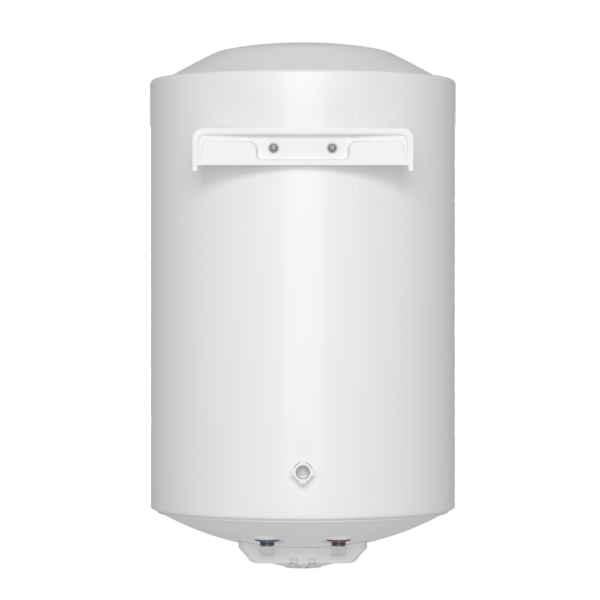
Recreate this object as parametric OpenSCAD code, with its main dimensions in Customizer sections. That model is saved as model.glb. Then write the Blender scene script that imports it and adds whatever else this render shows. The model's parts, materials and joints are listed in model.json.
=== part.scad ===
// Wall-hung electric storage water heater, 80 litre class.
// Frame: origin on the wall plane, at the middle of the hanging bracket's
// straight lower edge. +Y points into the wall, -Y is the room, +Z is up.
// Every sub-part is drawn round the tank's own axis and moved by in_frame().

/* [Jacket] */
// Outer diameter of the jacket
jacket_d = 440; // [400:1:480]
// Height of the jacket between its two rolled rims
jacket_h = 617; // [540:1:740]
// Thickness of the jacket sheet
jacket_t = 0.8; // [0.6:0.1:1.2]
// Outer radius of the rolled rims
rim_r = 7; // [5:0.5:9]
// Depth of the hem turned in at each rim
hem_h = 9; // [8:0.5:12]

/* [Caps] */
// Thickness of the cap sheet
cap_t = 1; // [0.8:0.1:1.4]
// Rise of the top cap's crown above the jacket
top_rise = 52.8; // [48:0.2:60]
// Radius of the top cap's gentle crown
crown_r = 650; // [560:10:900]
// Slope of the top cap's flank in degrees
flank_slope = 28.6; // [25:0.2:31]
// Width of the flat ledge round the top cap
ledge_w = 9.4; // [6:0.2:12]
// Radius of the bottom cap's dish
dish_r = 418; // [380:1:520]
// Height of the bottom cap's upright lip
lip_h = 4.2; // [3:0.1:6]
// Radius of the access opening in the bottom cap
access_r = 72; // [70:0.5:76]

/* [Tank] */
// Thickness of the foam between tank and jacket
foam_t = 20; // [18:1:26]
// Foam thickness over the top of the tank
foam_top = 29; // [24:1:40]
// Wall of the steel tank
tank_t = 2; // [1.5:0.1:3]
// Height of each domed tank head
head_h = 72; // [60:1:84]
// Height between the tank's lowest point and the bottom cap's lowest
bottom_room = 54; // [52:1:64]

/* [Flange] */
// Radius of the flange and of its welded collar
flange_r = 66; // [64:0.5:68]
// Radius of the opening inside the collar
collar_bore_r = 46; // [44:0.5:48]
// Radius of the circle of flange bolts
bolt_circle_r = 58; // [56:0.5:59]
// Number of flange bolts
bolt_count = 6; // [6, 8]
// Thickness of the flange plate
flange_t = 6; // [4:0.5:8]
// Thickness of the flange gasket
gasket_t = 3; // [2:0.5:4]

/* [Water pipes] */
// Distance between the two pipe axes
pipe_pitch = 100; // [90:1:110]
// Distance of the pipes behind the tank axis
pipe_back = 125; // [121:1:130]
// Outside diameter of a nipple, a G1/2 thread
nipple_d = 20.96; // [20.5:0.01:21]
// Bore of a nipple
nipple_bore = 15; // [13:0.5:16]
// Length of the nipple below its coloured ring
nipple_out = 6.6; // [5:0.2:9]
// Radius of the flat pressed seats round the nipples
seat_r = 23; // [20:0.5:25]
// Diameter of the coloured rings
ring_d = 34; // [30:0.5:36]

/* [Hanging bracket] */
// Width of the bracket
bracket_w = 301; // [270:1:330]
// Height of the bracket web
bracket_h = 50.4; // [48:0.2:56]
// Drop of the end legs below the web
leg_drop = 8.4; // [6:0.2:11]
// Width of the end legs
leg_w = 6.8; // [5:0.2:8]
// Radius of the upper corners
bracket_corner_r = 14.3; // [10:0.1:18]
// Width of the recessed pad between its side steps
pad_w = 127.4; // [118:0.2:140]
// Distance between the two screws
screw_pitch = 80; // [74:1:86]
// Height of the screws above the lower edge
screw_up = 24.1; // [22:0.1:26]
// Gap between the jacket and the wall plane
wall_gap = 14; // [12:0.5:18]
// Height of the lower edge above the heater's middle
bracket_up = 176; // [150:1:190]
// Thickness of the bracket steel
bracket_t = 2; // [1.5:0.1:2.5]

/* [Wall spacer] */
// Drop of the spacer below the heater's middle
spacer_down = 242.4; // [200:0.2:250]
// Width across the four lugs
spacer_w = 30.9; // [29:0.1:34]
// Width of one lug
lug_w = 9.1; // [7:0.1:10]
// Diameter of the hollow in the spacer
spacer_hole_d = 19.3; // [18:0.1:20]

/* [Control cover] */
// Width of the control cover
cover_w = 186; // [176:1:196]
// Wall of the control cover
cover_t = 2.5; // [2:0.1:3]
// Depth of the crowned bottom below the cover's flat bottom
crown_drop = 15.2; // [13:0.1:17]
// Radius of the crowned bottom
cover_crown_r = 196; // [180:1:230]
// Radius of the cover's upright corners
cover_corner_r = 34; // [28:1:40]
// Width of the two scoops in the rear wall
scoop_w = 21; // [18:0.5:24]
// Depth of the two scoops
scoop_depth = 5; // [3:0.5:6]
// Diameter of the temperature knob
knob_d = 54; // [48:0.5:56]

/* [Thermometer] */
// Outer diameter of the thermometer bezel
bezel_d = 62; // [58:0.5:66]
// Drop of the thermometer below the heater's middle
gauge_down = 190; // [120:1:200]

/* [Hidden] */

$fn = 180;
eps = 0.1;
far = 400;
// Clearance between seated pieces of one body
seat_gap = 0.2;
// Radial running clearance of a turning or sliding fit
run_gap = 0.08;

// Jacket and caps
jacket_r = jacket_d / 2;
half_h = jacket_h / 2;
hem_r = 2.2;
hem_in_r = jacket_r - rim_r - hem_r;
cap_gap = 0.4;
cap_r = hem_in_r - cap_gap;
skirt_z = half_h - hem_h - 3;
ledge_drop = 0.5;
ledge_z = half_h - ledge_drop;
foot_r = cap_r - ledge_w;
shoulder_blend = 1.5;
function crown_z(r) = half_h + top_rise - r * r / (2 * crown_r);
function flank_z(r) = ledge_z + (foot_r - r) * tan(flank_slope);
function smooth_low(a, b) = (a + b - sqrt(pow(a - b, 2) + pow(2 * shoulder_blend, 2))) / 2;
function top_z(r) = r < foot_r ? max(ledge_z, smooth_low(crown_z(r), flank_z(r))) : ledge_z;
top_steps = 40;
top_curve = [for (i = [0 : top_steps]) let (r = foot_r * i / top_steps) [r, top_z(r)]];

lip_corner = 2;
dish_edge_r = cap_r - 5;
dish_edge_z = -half_h - lip_h;
dish_centre_z = dish_edge_z + sqrt(dish_r * dish_r - dish_edge_r * dish_edge_r);
dish_low = dish_centre_z - dish_r;
function dish_z(r) = dish_centre_z - sqrt(dish_r * dish_r - r * r);

// Tank
tank_r = jacket_r - foam_t;
weld_gap = 0.1;
head_r = tank_r - tank_t - weld_gap;
tank_low = dish_low + bottom_room;
tank_high = half_h + top_rise - foam_top;
shell_low = tank_low + head_h;
shell_high = tank_high - head_h;
head_skirt = 12;
head_steps = 24;
function head_curve(a, b) = [for (i = [0 : head_steps])
    let (turn = 90 * i / head_steps) [a * cos(turn), b * sin(turn)]];

// Flange group
collar_drop = 10;
collar_z = tank_low - collar_drop;
flange_top = collar_z - gasket_t;
flange_z = flange_top - flange_t;
bolt_r = 3;
bolt_head_r = 5.8;
bolt_head_h = 4;
bolt_gap = 0.3;
cover_y = -8;
element_r = 4.25;
element_x = 16;
element_rows = [16, 30];
element_top = -70;
anode_y = -33;
anode_rod_r = 10;
anode_len = 320;
stud_r = 3;
pocket_r = 7;
pocket_len = 290;
cutout_x = 34;
body_gap = 0.3;
thermostat_h = 20;
button_r = 3;
button_out = 4;
shaft_r = 3;
block_y = 52;
block_size = [34, 16, 14];
terminal_pitch = 10;
earth_at = [-40, -20];
wire_r = 1.3;
wire_sides = 10;
wire_reference = [0.31, 0.57, 0.76];

// Nipples
pipe_at = [pipe_pitch / 2, pipe_back];
pipe_r = norm(pipe_at);
seat_z = dish_z(pipe_r) + 1.2;
ring_t = 2;
ring_z = seat_z - ring_t;
nipple_r = nipple_d / 2;
shank_r = nipple_r + 0.17;
shank_show = 0.6;
nipple_low = ring_z - nipple_out;
nipple_top = shell_low - head_h * sqrt(1 - pow(pipe_r / head_r, 2)) + 12;

// Bracket
wall_y = jacket_r + wall_gap;
pad_back = jacket_r + 1.5;
lip_band = 7.8;
groove_w = 1.2;
recess_top = bracket_h - lip_band;
panel_top = 31.3;
strip_h = 6.5;
panel_end = bracket_w / 2 - 13.5;
panel_fillet = 9.5;
screw_r = 3;
washer_r = 7.25;
washer_t = 1.2;
screw_head_r = 5.7;
screw_head_h = 3.6;
boss_r = 8;
hanger_t = 3;
hanger_w = 190;
hanger_h = 44;

// Wall spacer
socket_r = 16;
spacer_tube_r = 13;
lug_t = 6.5;
spacer_end = tank_r + 7;
core_y = spacer_end + 1;

// Control cover
cover_flat = 380.2 - 366.3;
cover_bottom = dish_low - cover_flat;
cover_shoulder = dish_low + 10.7;
cover_mid = dish_low - 6.7;
crown_low = cover_bottom - crown_drop;
crown_edge_r = 64;
knob_r = knob_d / 2;
well_gap = 2.6;
well_r = knob_r + well_gap;
well_floor = crown_low + 17;
knob_face = crown_low + 0.6;
knob_h = 12;
cover_screw_at = [58, 62];
cover_screw_head_z = cover_bottom + 7;
cover_screw_r = 2;
cover_boss_r = 5.6;
lamp_out = 46;
lamp_r = 4;
scoop_r = (scoop_w * scoop_w / 4 + scoop_depth * scoop_depth) / (2 * scoop_depth);
scoop_low = dish_low - 3.7;
block_half = 20.5;
block_low = dish_low - 5.7;
tongue_half = 7;
pocket_half = 17.4;
rear_y = cover_y + cover_w / 2;
entry_y = rear_y - 9;
entry_r = 4;
entry_len = 10;
entry_wall = 6;

// Thermometer
gauge_r = bezel_d / 2 - 4.5;
gauge_back = tank_r + 4;
dial_y = jacket_r - 8;
pin_r = 1;

module in_frame() {
    translate([0, -wall_y, -bracket_up]) children();
}

function unit(v) = v / norm(v);
function wire_heading(points, i) = let (last = len(points) - 1)
    unit((i < last ? unit(points[i + 1] - points[i]) : [0, 0, 0])
        + (i > 0 ? unit(points[i] - points[i - 1]) : [0, 0, 0]));
function wire_ring(at, heading, r) = let (side = unit(cross(heading, wire_reference)),
    up = cross(heading, side))
    [for (k = [0 : wire_sides - 1]) at + r * (cos(360 * k / wire_sides) * side
        + sin(360 * k / wire_sides) * up)];

// Round lead swept through a few points, with flat ends
module wire(points, r) {
    rings = [for (i = [0 : len(points) - 1]) each wire_ring(points[i], wire_heading(points, i), r)];
    walls = [for (i = [0 : len(points) - 2], k = [0 : wire_sides - 1])
        let (next = (k + 1) % wire_sides, low = i * wire_sides, high = low + wire_sides)
        [low + k, high + k, high + next, low + next]];
    last = (len(points) - 1) * wire_sides;
    ends = [[for (k = [0 : wire_sides - 1]) k], [for (k = [wire_sides - 1 : -1 : 0]) last + k]];
    polyhedron(rings, concat(walls, ends));
}

module tube(r_out, r_in, low, high) {
    translate([0, 0, low]) difference() {
        cylinder(r = r_out, h = high - low);
        translate([0, 0, -eps]) cylinder(r = r_in, h = high - low + 2 * eps);
    }
}

module disc(r, low, high) {
    translate([0, 0, low]) cylinder(r = r, h = high - low);
}

// A cylinder along +Y from y = low to y = high
module y_disc(r, low, high) {
    translate([0, low, 0]) rotate([-90, 0, 0]) cylinder(r = r, h = high - low);
}

module box(low, high) {
    translate(low) cube(high - low);
}

module both_sides() {
    children();
    mirror([1, 0, 0]) children();
}

module flange_bolt_places() {
    for (i = [0 : bolt_count - 1]) rotate([0, 0, 360 * i / bolt_count])
        translate([bolt_circle_r, 0, 0]) children();
}

module quarter(r, t) {
    intersection() {
        difference() {
            circle(r = r);
            circle(r = r - t);
        }
        square(r);
    }
}

module rim_section() {
    translate([jacket_r - rim_r, half_h - rim_r]) quarter(rim_r, jacket_t);
    translate([jacket_r - rim_r, half_h - hem_r]) mirror([1, 0]) quarter(hem_r, jacket_t);
    translate([hem_in_r, half_h - hem_h]) square([jacket_t, hem_h - hem_r]);
}

module outer_jacket() {
    color("white") in_frame() difference() {
        rotate_extrude() {
            translate([jacket_r - jacket_t, rim_r - half_h]) square([jacket_t, jacket_h - 2 * rim_r]);
            rim_section();
            mirror([0, 1]) rim_section();
        }
        both_sides() translate([screw_pitch / 2, 0, bracket_up + screw_up])
            y_disc(boss_r + bolt_gap, 0, far);
        translate([0, 0, -spacer_down]) y_disc(socket_r + seat_gap, 0, far);
        translate([0, 0, -gauge_down]) y_disc(gauge_r + bolt_gap, -far, 0);
    }
}

module top_cap() {
    inner = [for (i = [top_steps : -1 : 0]) [top_curve[i][0], top_curve[i][1] - cap_t]];
    skirt = [[cap_r, ledge_z], [cap_r, skirt_z], [cap_r - cap_t, skirt_z],
        [cap_r - cap_t, ledge_z - cap_t]];
    color("whitesmoke") in_frame() rotate_extrude() polygon(concat(top_curve, skirt, inner));
}

module dish_ball(grow) {
    translate([0, 0, dish_centre_z]) sphere(r = dish_r + grow, $fn = 360);
}

module nipple_places() {
    both_sides() translate([pipe_at[0], pipe_at[1], 0]) children();
}

// Upright wall that joins a flat pressed seat to the sloping dish
module seat_wall() {
    difference() {
        tube(seat_r + cap_t, seat_r, seat_z, seat_z + 12);
        translate([-pipe_at[0], -pipe_at[1], 0]) dish_ball(-cap_t);
    }
    intersection() {
        tube(seat_r + cap_t, seat_r, seat_z - 12, seat_z + cap_t);
        translate([-pipe_at[0], -pipe_at[1], 0]) dish_ball(0);
    }
}

module bottom_cap() {
    color("whitesmoke") in_frame() difference() {
        union() {
            difference() {
                intersection() {
                    difference() {
                        dish_ball(0);
                        dish_ball(-cap_t);
                    }
                    disc(dish_edge_r, dish_low - 5, dish_edge_z + 2 * cap_t);
                }
                nipple_places() disc(seat_r, dish_low, -half_h);
            }
            nipple_places() disc(seat_r + eps, seat_z, seat_z + cap_t);
            nipple_places() seat_wall();
            rotate_extrude() {
                translate([dish_edge_r - 3, dish_edge_z + eps]) square([5 + 3 - lip_corner, cap_t]);
                translate([cap_r - lip_corner, dish_edge_z + eps + lip_corner])
                    mirror([0, 1]) quarter(lip_corner, cap_t);
                translate([cap_r - cap_t, dish_edge_z + lip_corner])
                    square([cap_t, -skirt_z - dish_edge_z - lip_corner]);
            }
        }
        disc(access_r, dish_low - 5, 0);
        nipple_places() disc(shank_r + seat_gap, dish_low, 0);
        cover_screw_places() disc(cover_screw_r + eps / 2, dish_low, 0);
    }
}

// Outline of the closed tank, as a solid of revolution
module tank_solid(grow) {
    rotate_extrude() {
        translate([0, shell_low]) square([tank_r + grow, shell_high - shell_low]);
        translate([0, shell_high]) polygon(concat([[0, 0]], head_curve(tank_r + grow, head_h + grow)));
        translate([0, shell_low]) mirror([0, 1])
            polygon(concat([[0, 0]], head_curve(tank_r + grow, head_h + grow)));
    }
}

module foam_outline() {
    side_r = jacket_r - jacket_t - seat_gap;
    core_r = cap_r - cap_t - cap_gap;
    roof = [for (p = top_curve) [p[0], p[1] - cap_t - cap_gap]];
    floor_z = -skirt_z - 5;
    polygon(concat([[0, floor_z]], roof, [[core_r, ledge_z - cap_t - cap_gap],
        [core_r, skirt_z - cap_gap], [side_r, skirt_z - cap_gap],
        [side_r, cap_gap - skirt_z], [core_r, cap_gap - skirt_z], [core_r, floor_z]]));
}

module insulation_foam() {
    color("lightyellow") in_frame() difference() {
        rotate_extrude() foam_outline();
        tank_solid(seat_gap);
        disc(flange_r + seat_gap, tank_low - 5, 0);
        nipple_places() disc(shank_r + seat_gap, dish_low, 0);
        hanger_shape(seat_gap);
        translate([0, 0, -spacer_down]) y_disc(socket_r + seat_gap, 0, far);
        translate([0, 0, -gauge_down]) y_disc(gauge_r + seat_gap, -far, 0);
    }
}

module tank_shell() {
    color("lightsteelblue") in_frame() tube(tank_r, tank_r - tank_t, shell_low, shell_high);
}

module head_shell() {
    rotate_extrude() difference() {
        polygon(concat([[0, -head_skirt], [0, 0]], [for (i = [head_steps : -1 : 0])
            head_curve(head_r, head_h)[i]], [[head_r, -head_skirt]]));
        polygon(concat([[0, -head_skirt - eps], [0, 0]], [for (i = [head_steps : -1 : 0])
            head_curve(head_r - tank_t, head_h - tank_t)[i]],
            [[head_r - tank_t, -head_skirt - eps]]));
    }
}

module tank_top_head() {
    color("lightsteelblue") in_frame() translate([0, 0, shell_high]) head_shell();
}

module tank_bottom_head() {
    color("lightsteelblue") in_frame() difference() {
        translate([0, 0, shell_low]) mirror([0, 0, 1]) head_shell();
        disc(collar_bore_r, tank_low - eps, shell_low);
        nipple_places() disc(shank_r + weld_gap, tank_low, shell_low);
    }
}

module flange_collar() {
    color("lightsteelblue") in_frame() difference() {
        tube(flange_r, collar_bore_r, collar_z, tank_low + head_h / 2);
        translate([0, 0, shell_low]) mirror([0, 0, 1]) rotate_extrude()
            polygon(concat([[0, -far], [0, 0]], [for (i = [head_steps : -1 : 0])
                head_curve(head_r + weld_gap, head_h + weld_gap)[i]], [[head_r, -far]]));
        flange_bolt_places() disc(bolt_r + eps / 2, collar_z - eps, collar_z + 8);
    }
}

module flange_gasket() {
    color("dimgray") in_frame() tube(bolt_circle_r - bolt_r - 2, collar_bore_r, flange_top, collar_z);
}

module element_places() {
    for (y = element_rows) translate([0, y, 0]) children();
}

module heater_flange() {
    color("silver") in_frame() difference() {
        disc(flange_r, flange_z, flange_top);
        flange_bolt_places() disc(bolt_r + bolt_gap, flange_z - eps, flange_top + eps);
        element_places() both_sides()
            translate([element_x, 0, 0]) disc(element_r + weld_gap, flange_z - eps, flange_top + eps);
        translate([0, anode_y, 0]) disc(stud_r + weld_gap, flange_z - eps, flange_top + eps);
        translate([0, cover_y, 0]) disc(pocket_r + weld_gap, flange_z - eps, flange_top + eps);
        translate([earth_at[0], earth_at[1], 0]) disc(stud_r - 0.5, flange_z - eps, flange_z + 4);
    }
}

module flange_bolts() {
    color("gray") in_frame() flange_bolt_places() {
        translate([0, 0, flange_z - bolt_head_h]) cylinder(r = bolt_head_r, h = bolt_head_h, $fn = 6);
        disc(bolt_r, flange_z - eps, collar_z + 7);
    }
}

module heating_elements() {
    color("darkgray") in_frame() element_places() {
        both_sides() translate([element_x, 0, 0]) disc(element_r, flange_z - 1, element_top);
        translate([0, 0, element_top]) rotate([90, 0, 0]) intersection() {
            rotate_extrude() translate([element_x, 0]) circle(r = element_r);
            translate([-far, 0, -far]) cube([2 * far, far, 2 * far]);
        }
    }
}

module element_terminals() {
    color("gainsboro") in_frame() element_places() both_sides() translate([element_x, 0, 0]) {
        disc(element_r, flange_z - 7, flange_z - 1 - weld_gap);
        disc(1.6, flange_z - 14, flange_z - 7 + eps);
    }
}

module magnesium_anode() {
    color("slategray") in_frame() translate([0, anode_y, 0]) {
        disc(anode_rod_r, flange_top + 4, flange_top + 4 + anode_len);
        disc(stud_r, flange_z - 9, flange_top + 4 + eps);
    }
}

module anode_nut() {
    color("silver") in_frame() translate([0, anode_y, flange_z - 5]) difference() {
        cylinder(r = 5.2, h = 5 - weld_gap, $fn = 6);
        translate([0, 0, -eps]) cylinder(r = stud_r + weld_gap, h = 6);
    }
}

module thermostat_pocket() {
    color("silver") in_frame() translate([0, cover_y, 0]) difference() {
        disc(pocket_r, flange_z, flange_top + pocket_len);
        disc(pocket_r - 1, flange_z - eps, flange_top + pocket_len - 1);
    }
}

module thermostat_bulb() {
    color("peru") in_frame() translate([0, cover_y, 0]) {
        disc(pocket_r - 1 - body_gap, flange_z + 10, flange_top + pocket_len - 2);
        disc(2, flange_z - body_gap, flange_z + 10 + eps);
    }
}

module thermostat_body() {
    color("ivory") in_frame() translate([0, cover_y, flange_z - body_gap - thermostat_h]) difference() {
        translate([-22, -17, 0]) cube([44, 34, thermostat_h]);
        translate([0, 0, -eps]) cylinder(r = shaft_r + run_gap, h = 14);
        translate([0, 0, thermostat_h - 2]) cylinder(r = 2.5, h = 3);
    }
}

module thermostat_shaft() {
    color("white") in_frame() translate([0, cover_y, 0])
        disc(shaft_r, knob_face + knob_h - 5, flange_z - body_gap - thermostat_h + 12);
}

module thermal_cutout() {
    color("black") in_frame() translate([cutout_x, cover_y, flange_z - body_gap - 16]) difference() {
        translate([-10, -8, 0]) cube([20, 16, 16]);
        translate([0, 0, -eps]) cylinder(r = button_r + run_gap, h = 10);
    }
}

module reset_button() {
    color("red") in_frame() translate([cutout_x, cover_y, flange_z - body_gap - 16])
        disc(button_r, -button_out, 6);
}

module terminal_block() {
    color("ivory") in_frame() translate([0, block_y, flange_z - block_size[2]]) difference() {
        translate([-block_size[0] / 2, -block_size[1] / 2, 0]) cube(block_size);
        for (i = [-1 : 1]) translate([i * terminal_pitch, 0, -eps]) cylinder(r = 2.1, h = 8);
        for (i = [-1 : 1]) translate([i * terminal_pitch, -block_size[1] / 2 - eps, 6])
            rotate([-90, 0, 0]) cylinder(r = wire_r + eps, h = 4);
    }
}

module terminal_screws() {
    color("goldenrod") in_frame() for (i = [-1 : 1])
        translate([i * terminal_pitch, block_y, flange_z - block_size[2]]) difference() {
            cylinder(r = 2, h = 7);
            translate([-3, -0.4, -eps]) cube([6, 0.8, 1]);
        }
}

module earth_stud() {
    color("goldenrod") in_frame() translate([earth_at[0], earth_at[1], flange_z]) {
        disc(stud_r - 0.55, -12, 3.5);
        translate([0, 0, -4]) cylinder(r = 4.6, h = 4 - weld_gap, $fn = 6);
    }
}

// Leads held between the terminal block, thermostat and earth stud
module internal_wires() {
    lead_y = block_y - block_size[1] / 2 + 3;
    lead_z = flange_z - block_size[2] + 6;
    side_z = flange_z - 12;
    clear_y = lead_y - 5;
    color("saddlebrown") in_frame() {
        wire([[-terminal_pitch, lead_y, lead_z], [-terminal_pitch, clear_y, lead_z],
            [-26, clear_y - 5, lead_z - 9], [-31, 6, lead_z - 9], [-30, -2, side_z],
            [-22.3, -4, side_z]], wire_r);
        wire([[terminal_pitch, lead_y, lead_z], [terminal_pitch, clear_y, lead_z],
            [26, clear_y - 5, lead_z - 9], [31, 14, lead_z - 9], [28, 7, side_z],
            [22.3, 5, side_z]], wire_r);
        wire([[0, lead_y, lead_z], [0, clear_y, lead_z], [-22, clear_y - 3, lead_z - 16],
            [-40, 8, lead_z - 16], [earth_at[0], earth_at[1], flange_z - 14],
            [earth_at[0], earth_at[1], flange_z - 12 - weld_gap]], wire_r);
    }
}

module nipple() {
    difference() {
        union() {
            disc(nipple_r, nipple_low, ring_z);
            disc(shank_r, ring_z - shank_show, nipple_top);
        }
        disc(nipple_bore / 2, nipple_low - eps, nipple_top + eps);
    }
}

module cold_inlet_nipple() {
    color("silver") in_frame() translate([pipe_at[0], pipe_at[1], 0]) nipple();
}

module hot_outlet_nipple() {
    color("silver") in_frame() translate([-pipe_at[0], pipe_at[1], 0]) nipple();
}

module nipple_ring() {
    tube(ring_d / 2, shank_r + seat_gap, ring_z, seat_z - seat_gap);
}

module cold_inlet_ring() {
    color("steelblue") in_frame() translate([pipe_at[0], pipe_at[1], 0]) nipple_ring();
}

module hot_outlet_ring() {
    color("indianred") in_frame() translate([-pipe_at[0], pipe_at[1], 0]) nipple_ring();
}

module inlet_diffuser() {
    cup_r = shank_r + 2.2;
    color("ivory") in_frame() translate([pipe_at[0], pipe_at[1], nipple_top - 3]) difference() {
        disc(cup_r, 0, 30);
        disc(shank_r + seat_gap, -eps, 28);
        for (turn = [0, 90]) rotate([0, 0, turn])
            translate([-cup_r - eps, -5, 12]) cube([2 * cup_r + 2 * eps, 10, 8]);
    }
}

module hot_standpipe() {
    pipe_out_r = nipple_bore / 2 - weld_gap;
    pipe_high = shell_high + head_h * sqrt(1 - pow(pipe_r / head_r, 2)) - 14;
    color("silver") in_frame() translate([-pipe_at[0], pipe_at[1], 0])
        tube(pipe_out_r, pipe_out_r - 1, nipple_top - 16, pipe_high);
}

// Side profile of the tub: upright, then two steepening chamfers down to a flat bottom
module tub_profile(top_half, mid_half, low_half, inset) {
    polygon([[-top_half, dish_low + 40], [top_half, dish_low + 40], [top_half, cover_shoulder],
        [mid_half, cover_mid + inset / 2], [low_half, cover_bottom + inset],
        [-low_half, cover_bottom + inset], [-mid_half, cover_mid + inset / 2],
        [-top_half, cover_shoulder]]);
}

// Rounded upright box cut by one profile across and one profile front to back
module cover_tub(inset) {
    half = cover_w / 2 - inset;
    corner = cover_corner_r - inset;
    translate([0, cover_y, 0]) intersection() {
        translate([0, 0, cover_bottom - eps]) linear_extrude(dish_low + 40 - cover_bottom) union() {
            for (x = [-1, 1], y = [-1, 1])
                translate([x * (half - corner), y * (half - corner)]) circle(r = corner);
            square([2 * half, 2 * (half - corner)], center = true);
            square([2 * (half - corner), 2 * half], center = true);
        }
        translate([0, far, 0]) rotate([90, 0, 0]) linear_extrude(2 * far)
            tub_profile(half, half - 17, half - 28, inset);
        translate([-far, 0, 0]) rotate([90, 0, 90]) linear_extrude(2 * far)
            tub_profile(half, half - 7, half - 13, inset);
    }
}

module cover_crown(inset) {
    translate([0, cover_y, 0]) intersection() {
        translate([0, 0, crown_low + cover_crown_r]) sphere(r = cover_crown_r - inset);
        disc(crown_edge_r - inset, crown_low - eps, cover_bottom + cover_t + 1);
    }
}

// Axes of the two shallow scoops moulded into the rear wall in line with the nipples
module scoop_places() {
    both_sides() translate([pipe_pitch / 2, rear_y - scoop_depth + scoop_r, 0]) children();
}

module cover_screw_places() {
    for (x = [-1, 1], y = [-1, 1])
        translate([x * cover_screw_at[0], cover_y + y * cover_screw_at[1], 0]) children();
}

module control_cover() {
    color("gainsboro") in_frame() difference() {
        union() {
            cover_tub(0);
            cover_crown(0);
        }
        difference() {
            union() {
                cover_tub(cover_t);
                cover_crown(cover_t);
            }
            translate([0, cover_y, 0]) disc(well_r + cover_t, crown_low, well_floor + cover_t);
            scoop_places() disc(scoop_r + cover_t, scoop_low - cover_t, dish_low + 30);
            cover_screw_places() disc(cover_boss_r, cover_bottom, dish_low + 30);
        }
        scoop_places() {
            disc(scoop_r, scoop_low + scoop_depth - eps, dish_low + 40);
            translate([0, 0, scoop_low]) cylinder(r1 = scoop_r - scoop_depth, r2 = scoop_r, h = scoop_depth);
        }
        dish_ball(body_gap);
        translate([0, cover_y, 0]) disc(well_r, crown_low - eps, well_floor);
        translate([0, cover_y, 0]) disc(shaft_r + 1.5, crown_low, well_floor + cover_t + eps);
        translate([0, cover_y - lamp_out, 0]) disc(lamp_r + seat_gap, crown_low, cover_bottom);
        cover_screw_places() disc(cover_boss_r - 1.4, crown_low, cover_screw_head_z);
        cover_screw_places() disc(cover_screw_r + bolt_gap, crown_low, dish_low + 40);
        box([-block_half - body_gap, rear_y - 14 - body_gap, block_low - body_gap],
            [block_half + body_gap, rear_y + eps, dish_low + 40]);
        box([-pocket_half, rear_y - 18, cover_bottom - eps], [pocket_half, rear_y + eps, block_low]);
    }
}

module cover_screws() {
    color("silver") in_frame() cover_screw_places() difference() {
        union() {
            disc(3.6, cover_screw_head_z - 2.6, cover_screw_head_z);
            disc(cover_screw_r, cover_screw_head_z - eps, dish_z(norm(cover_screw_at)) + 6);
        }
        for (turn = [0, 90]) rotate([0, 0, turn])
            translate([-2.2, -0.45, cover_screw_head_z - 2.6 - eps]) cube([4.4, 0.9, 1.6]);
    }
}

module temperature_knob() {
    color("white") in_frame() translate([0, cover_y, 0]) difference() {
        intersection() {
            translate([0, 0, knob_face + cover_crown_r]) sphere(r = cover_crown_r);
            disc(knob_r, knob_face - eps, knob_face + knob_h);
        }
        disc(shaft_r, knob_face + knob_h - 5, knob_face + knob_h + eps);
        box([-0.8, -knob_r - eps, knob_face - 2], [0.8, -knob_r + 11, knob_face + 2.6]);
    }
}

module pilot_lamp_lens() {
    lens_low = crown_low + cover_crown_r - sqrt(pow(cover_crown_r, 2) - pow(lamp_out, 2)) - 0.6;
    color("red") in_frame() translate([0, cover_y - lamp_out, 0]) {
        disc(lamp_r, lens_low, cover_bottom + 2);
        disc(lamp_r + 1.5, cover_bottom + 2 - eps, cover_bottom + 4);
    }
}

module pilot_lamp_body() {
    color("darkgray") in_frame() translate([0, cover_y - lamp_out, 0])
        disc(lamp_r + 1.5, cover_bottom + 4 + weld_gap, cover_bottom + 17);
}

module cable_entry_block() {
    color("lightgray") in_frame() difference() {
        union() {
            box([-block_half, rear_y - 14, block_low], [block_half, rear_y + 3, dish_low + 40]);
            box([-tongue_half, rear_y - 1, cover_bottom + eps], [tongue_half, rear_y + 3, block_low + eps]);
        }
        dish_ball(body_gap);
        translate([0, entry_y, 0]) disc(entry_r, block_low - eps, block_low + entry_wall + eps);
        box([-block_half + 6, rear_y - 14 - eps, block_low + entry_wall],
            [block_half - 6, entry_y + entry_r + eps, block_low + entry_len]);
        clamp_screw_places() y_disc(1.6, rear_y - 15, rear_y - 4);
    }
}

module clamp_screw_places() {
    both_sides() translate([block_half - 3, 0, block_low + 4]) children();
}

module cable_clamp_bar() {
    color("gainsboro") in_frame() difference() {
        box([-block_half, rear_y - 19, block_low + 1], [block_half, rear_y - 14 - seat_gap, block_low + 7]);
        clamp_screw_places() y_disc(1.8, rear_y - 20, rear_y - 13);
    }
}

module clamp_screws() {
    color("silver") in_frame() clamp_screw_places() {
        y_disc(1.5, rear_y - 20, rear_y - 6);
        y_disc(2.8, rear_y - 21.2, rear_y - 19 - eps);
    }
}

// Flat outline of the bracket web, legs included, with z measured from its lower edge
module web_outline() {
    half = bracket_w / 2;
    translate([-half, 0]) square([bracket_w, bracket_h - bracket_corner_r]);
    translate([-half + bracket_corner_r, 0]) square([bracket_w - 2 * bracket_corner_r, bracket_h]);
    for (side = [-1, 1]) {
        translate([side * (half - bracket_corner_r), bracket_h - bracket_corner_r])
            circle(r = bracket_corner_r);
        translate([side * (half - leg_w / 2) - leg_w / 2, leg_w / 2 - leg_drop])
            square([leg_w, leg_drop]);
        translate([side * (half - leg_w / 2), leg_w / 2 - leg_drop]) circle(r = leg_w / 2);
    }
}

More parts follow.
